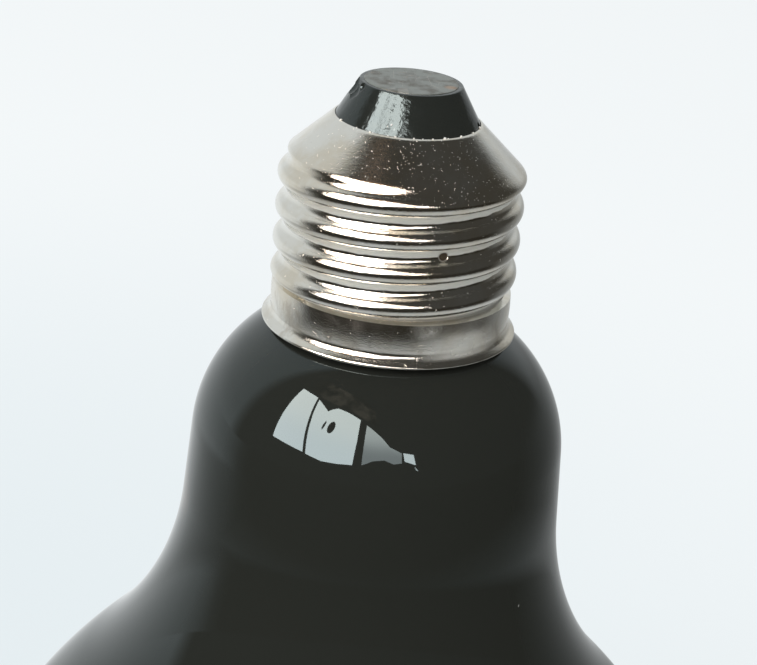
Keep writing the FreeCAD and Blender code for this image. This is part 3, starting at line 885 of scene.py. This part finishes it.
def makeCrumbs(facts):
    bpy.ops.object.select_all(action="DESELECT")
    made = []
    for angle, size, rise in facts["spots"]:
        turn = radians(angle)
        seam = insulatorRadius(insulator, rise) + size * (0.1 if rise else 0.25)
        bpy.ops.mesh.primitive_ico_sphere_add(
            subdivisions=2, radius=size / 2,
            location=(seam * cos(turn), seam * sin(turn), rimHeight + shell["height"] + rise + size * 0.1),
        )
        crumb = bpy.context.active_object
        for vertex in crumb.data.vertices:
            start = Vector((angle, size * 1000, 0))
            vertex.co *= 1 + 0.5 * noise.noise(vertex.co * facts["lumpScale"] + start)
        made.append(crumb)
    for crumb in made:
        crumb.select_set(True)
    bpy.ops.object.join()
    joined = bpy.context.active_object
    joined.name = joined.data.name = facts["name"]
    bpy.ops.object.transform_apply(location=True, rotation=True, scale=True)
    finishPiece(joined, crumbGrain)


makeCrumbs(crumbs)


# Pieces that keep their own shape and get a finish

for nodeName, material in (
    ("contact_solder", contactMetal),
    ("basing_cement", cementGrain),
    ("centre_lead", wireMetal),
    ("side_lead", wireMetal),
):
    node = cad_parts[nodeName]
    node.data.materials.clear()
    node.data.materials.append(material)
print("finishes given to the pieces inside the cap")


# Floor, soft box, lamp and world. Azimuths are counted from the camera's side, to the right.

studio = {
    "paper": (0.905, 0.940, 0.952),
    "paperShare": 0.71,  # of the floor's tone that doesn't depend on the lamps
    "room": (0.031, 0.029, 0.024),
    "fill": 0.80,
    "keyPower": 9.0,
    "keyPlace": (-0.75, -0.75, 1.05),
    "keySize": 0.9,
    "boxGlow": 16.0,
    "boxTint": (1.15, 1.0, 0.90),
    "boxFoot": (1.10, 1.0, 0.95),
    "boxCentre": 0.104,  # height of the point that the soft box stands round
    "boxDistance": 1.5,
    "footHeight": 0.55,  # the glow changes from its foot's tint to its own between these heights
    "headHeight": 1.15,
    "hazeTint": (1.0, 0.69, 0.50),
    "hazeGlow": 0.75,
    "shadowTint": (0.03, 0.028, 0.025),
    "shadowShare": 0.8,  # of the box's distance, where the dark things in front of it stand
    "floorSize": 8.0,
    "floorRoughness": 0.9,
    "shadePlace": (-0.10, 0.09, 0.0),  # broad soft shade on the floor, behind the lamp on the left
    "shadeReach": 0.32,
    "shadeTone": (0.733, 0.814, 0.847),
    # how pale the surroundings are in reflections, by azimuth: high up, near the horizon, on the
    # floor and on the floor close to the lamp
    "highTones": ((-180, 0.82), (-100, 0.78), (-95, 0.32), (-91, 0.03), (131, 0.03), (141, 0.50),
                  (150, 0.66), (165, 0.78), (180, 0.82)),
    "horizonTones": ((-180, 0.98), (-101, 0.92), (-95, 0.30), (-91, 0.03), (100, 0.03), (113, 0.11),
                     (125, 0.20), (136, 0.26), (147, 0.36), (160, 0.45), (170, 0.65), (180, 0.98)),
    "horizonBand": (-0.05, 0.22),  # the sines of the elevations where the two meet
    "floorTones": ((-180, 0.96), (-150, 0.96), (-136, 0.95), (-124, 0.93), (-112, 0.86), (-101, 0.70),
                   (-92, 0.42), (-85, 0.12), (-78, 0.0), (95, 0.0), (113, 0.11), (125, 0.20),
                   (136, 0.28), (147, 0.40), (160, 0.50), (170, 0.68), (180, 0.96)),
    "closeTones": ((-180, 0.96), (-150, 0.95), (-136, 0.84), (-124, 0.64), (-110, 0.46), (-99, 0.32),
                   (-90, 0.20), (-81, 0.06), (-73, 0.0), (95, 0.0), (113, 0.11), (125, 0.20),
                   (136, 0.28), (147, 0.40), (160, 0.50), (170, 0.68), (180, 0.96)),
    "closeEnd": (0.24, 0.33),  # distances from the lamp's axis
    # and all round it, by distance
    "nearTones": ((0.0, 0.60), (0.15, 0.55), (0.21, 0.38), (0.24, 0.12), (0.26, 0.0)),
}

# the soft box's panes: their corners as azimuth and elevation, their share of the glow, and the share
# of it that is left at the foot
panes = {
    "paneLeft": (((-67.2, 13.7), (-44.9, 13.7), (-59.8, 51.1), (-76.6, 48.9)), 1.0, 0.95),
    "paneMiddle": (((-42.8, 13.2), (-32.0, 11.9), (-22.7, 12.9), (-12.9, 14.3), (-12.8, 31.5), (-14.3, 48.3),
                    (-26.6, 51.4), (-37.3, 51.6), (-41.4, 48.9), (-43.1, 46.8), (-57.4, 50.7)), 1.0, 0.95),
    "paneRight": (((-7.3, 15.1), (-0.9, 19.1), (6.2, 20.6), (12.2, 17.9), (17.3, 18.6), (17.5, 26.0),
                   (9.8, 30.4), (3.5, 37.7), (-2.2, 41.9), (-8.3, 45.4)), 0.60, 0.45),
    "paneEnd": (((19.1, 20.0), (25.9, 17.0), (25.1, 24.6), (18.5, 26.1)), 0.9, 1.0),
    "paneTip": (((25.0, 16.0), (27.5, 12.1), (26.0, 13.5)), 0.9, 1.0),
}
# a dim warm glow over it, and dark things in front of it: azimuth, elevation, half width, half height
boxHaze = ((-72.0, 52.5), (-55.0, 52.8), (-38.0, 53.4), (-24.0, 53.0), (-8.0, 48.0), (0.0, 45.0),
           (-4.0, 58.0), (-20.0, 64.0), (-45.0, 65.0), (-75.0, 62.0))
boxShadows = {"boxKnob": (-33.7, 37.0, 2.6, 4.6), "boxLatch": (-39.4, 36.6, 0.8, 3.4)}


def towards(facts, azimuth, elevation, share=1.0):
    # a place round the lamp, at the soft box's distance or a share of it
    turn, lift = radians(azimuth), radians(elevation)
    way = Vector((sin(turn) * cos(lift), -cos(turn) * cos(lift), sin(lift)))
    return Vector((0, 0, facts["boxCentre"])) + facts["boxDistance"] * share * way


def glowOf(tree, tint, strength=1.0):
    node = newNode(tree, "ShaderNodeEmission")
    plug(tree, tint, node.inputs["Color"])
    plug(tree, strength, node.inputs["Strength"])
    return node.outputs["Emission"]


def glowMaterial(facts, name, tint, strength, foot=None, footShare=1.0, patchy=False):
    # foot is the tint of the card's lower part; a patchy glow comes and goes in clouds
    material, tree, surface, where = startMaterial(name)
    tree.nodes.remove(surface)
    rise = ramp(tree, heightOf(tree, where), facts["footHeight"], facts["headHeight"])
    shade = mixColour(tree, rise, colour(*(foot or tint)), colour(*tint))
    power = times(tree, ramp(tree, rise, 0.0, 1.0, footShare, 1.0), strength)
    if patchy:
        power = times(tree, power, ramp(tree, noiseField(tree, where, 4.0, 3.0), 0.42, 0.62))
    plug(tree, glowOf(tree, shade, power), tree.nodes["Material Output"].inputs["Surface"])
    return material


def makeCard(name, corners, material):
    # a flat card seen only in reflections
    bpy.ops.object.select_all(action="DESELECT")
    bpy.ops.mesh.primitive_circle_add(vertices=len(corners), fill_type="NGON")
    card = bpy.context.active_object
    card.name = card.data.name = name
    for vertex, corner in zip(card.data.vertices, corners):
        vertex.co = corner
    card.data.materials.append(material)
    card.visible_camera = card.visible_diffuse = card.visible_shadow = card.visible_transmission = False


def makeSoftBox(facts):
    for name, (corners, share, footShare) in panes.items():
        strength = facts["boxGlow"] * share
        glow = glowMaterial(facts, name + "Glow", facts["boxTint"], strength, facts["boxFoot"], footShare)
        makeCard(name, [towards(facts, *corner) for corner in corners], glow)
    haze = glowMaterial(facts, "boxHaze", facts["hazeTint"], facts["hazeGlow"], patchy=True)
    makeCard("boxHaze", [towards(facts, *corner) for corner in boxHaze], haze)
    dark = glowMaterial(facts, "boxDark", facts["shadowTint"], 1.0)
    for name, (azimuth, elevation, wide, tall) in boxShadows.items():
        ring = [(azimuth + wide * cos(pi * i / 8), elevation + tall * sin(pi * i / 8)) for i in range(16)]
        makeCard(name, [towards(facts, *corner, facts["shadowShare"]) for corner in ring], dark)


def toneTable(tree, position, stops):
    # greys between stops, each a position from 0 to 1 and its tone
    table = newNode(tree, "ShaderNodeValToRGB")
    plug(tree, position, table.inputs["Fac"])
    elements = table.color_ramp.elements
    elements[0].position, elements[1].position = stops[0][0], stops[-1][0]
    for place, tone in stops[1:-1]:
        elements.new(place)
    for element, (place, tone) in zip(elements, stops):
        element.color = colour(tone, tone, tone)
    return table.outputs["Color"]


def azimuthTone(tree, direction, tones):
    axes = axesOf(tree, direction)
    turn = maths(tree, "ARCTAN2", axes["X"], times(tree, axes["Y"], -1.0))
    share = ramp(tree, turn, -pi, pi, style="LINEAR")
    return toneTable(tree, share, [((azimuth + 180) / 360, tone) for azimuth, tone in tones])


def mirrorRays(tree, path):
    return strongest(tree, path.outputs["Is Glossy Ray"], path.outputs["Is Transmission Ray"])


def mixShaders(tree, share, first, second):
    node = newNode(tree, "ShaderNodeMixShader")
    for source, socket in zip((share, first, second), node.inputs):
        plug(tree, source, socket)
    return node.outputs["Shader"]


def makeFloor(facts):
    bpy.ops.object.select_all(action="DESELECT")
    bpy.ops.mesh.primitive_plane_add(size=facts["floorSize"])
    floor = bpy.context.active_object
    floor.name = floor.data.name = "paperFloor"
    material, tree, matte, where = startMaterial("paperFloor")
    paper = colour(*facts["paper"])
    matte.inputs["Base Color"].default_value = paper
    matte.inputs["Roughness"].default_value = facts["floorRoughness"]
    matte.inputs["Specular IOR Level"].default_value = 0.0

    # as metal and glass show it
    length = newNode(tree, "ShaderNodeVectorMath", operation="LENGTH")
    plug(tree, where, length.inputs[0])
    distance = length.outputs["Value"]
    tone = mixColour(
        tree,
        ramp(tree, distance, *facts["closeEnd"]),
        azimuthTone(tree, where, facts["closeTones"]),
        azimuthTone(tree, where, facts["floorTones"]),
    )
    tone = strongest(tree, tone, toneTable(tree, distance, facts["nearTones"]))
    reflected = glowOf(tree, mixColour(tree, tone, colour(*facts["room"]), paper))

    # as the camera sees it
    shade = nearSpot(tree, where, facts["shadePlace"], facts["shadeReach"], 1.0)
    glow = glowOf(tree, mixColour(tree, shade, paper, colour(*facts["shadeTone"])))
    path = newNode(tree, "ShaderNodeLightPath")
    direct = times(tree, path.outputs["Is Camera Ray"], facts["paperShare"])
    seen = mixShaders(tree, direct, matte.outputs["BSDF"], glow)
    blend = mixShaders(tree, mirrorRays(tree, path), seen, reflected)
    plug(tree, blend, tree.nodes["Material Output"].inputs["Surface"])
    material.cycles.emission_sampling = "NONE"
    floor.data.materials.append(material)


def makeWorld(facts):
    world = bpy.data.worlds.new("paleStudio")
    bpy.context.scene.world = world
    world.use_nodes = True
    tree = world.node_tree
    direction = newNode(tree, "ShaderNodeTexCoord").outputs["Generated"]
    tone = mixColour(
        tree,
        ramp(tree, heightOf(tree, direction), *facts["horizonBand"]),
        azimuthTone(tree, direction, facts["horizonTones"]),
        azimuthTone(tree, direction, facts["highTones"]),
    )
    paper, fill = colour(*facts["paper"]), facts["fill"]
    reflected = mixColour(tree, tone, colour(*facts["room"]), paper)
    path = newNode(tree, "ShaderNodeLightPath")
    tint = mixColour(tree, mirrorRays(tree, path), colour(fill, fill, fill), reflected)
    tint = mixColour(tree, path.outputs["Is Camera Ray"], tint, paper)
    plug(tree, tint, tree.nodes["Background"].inputs["Color"])
    world.cycles.sampling_method = "NONE"


def makeKey(facts):
    bpy.ops.object.light_add(type="AREA", location=facts["keyPlace"])
    key = bpy.context.active_object
    key.name = "softKey"
    key.rotation_euler = (capMiddle - Vector(facts["keyPlace"])).to_track_quat("-Z", "Y").to_euler()
    key.data.size = facts["keySize"]
    key.data.energy = facts["keyPower"]
    key.visible_glossy = False


makeFloor(studio)
makeSoftBox(studio)
makeKey(studio)
makeWorld(studio)
bpy.context.scene.view_settings.view_transform = "Standard"
print("studio lit")
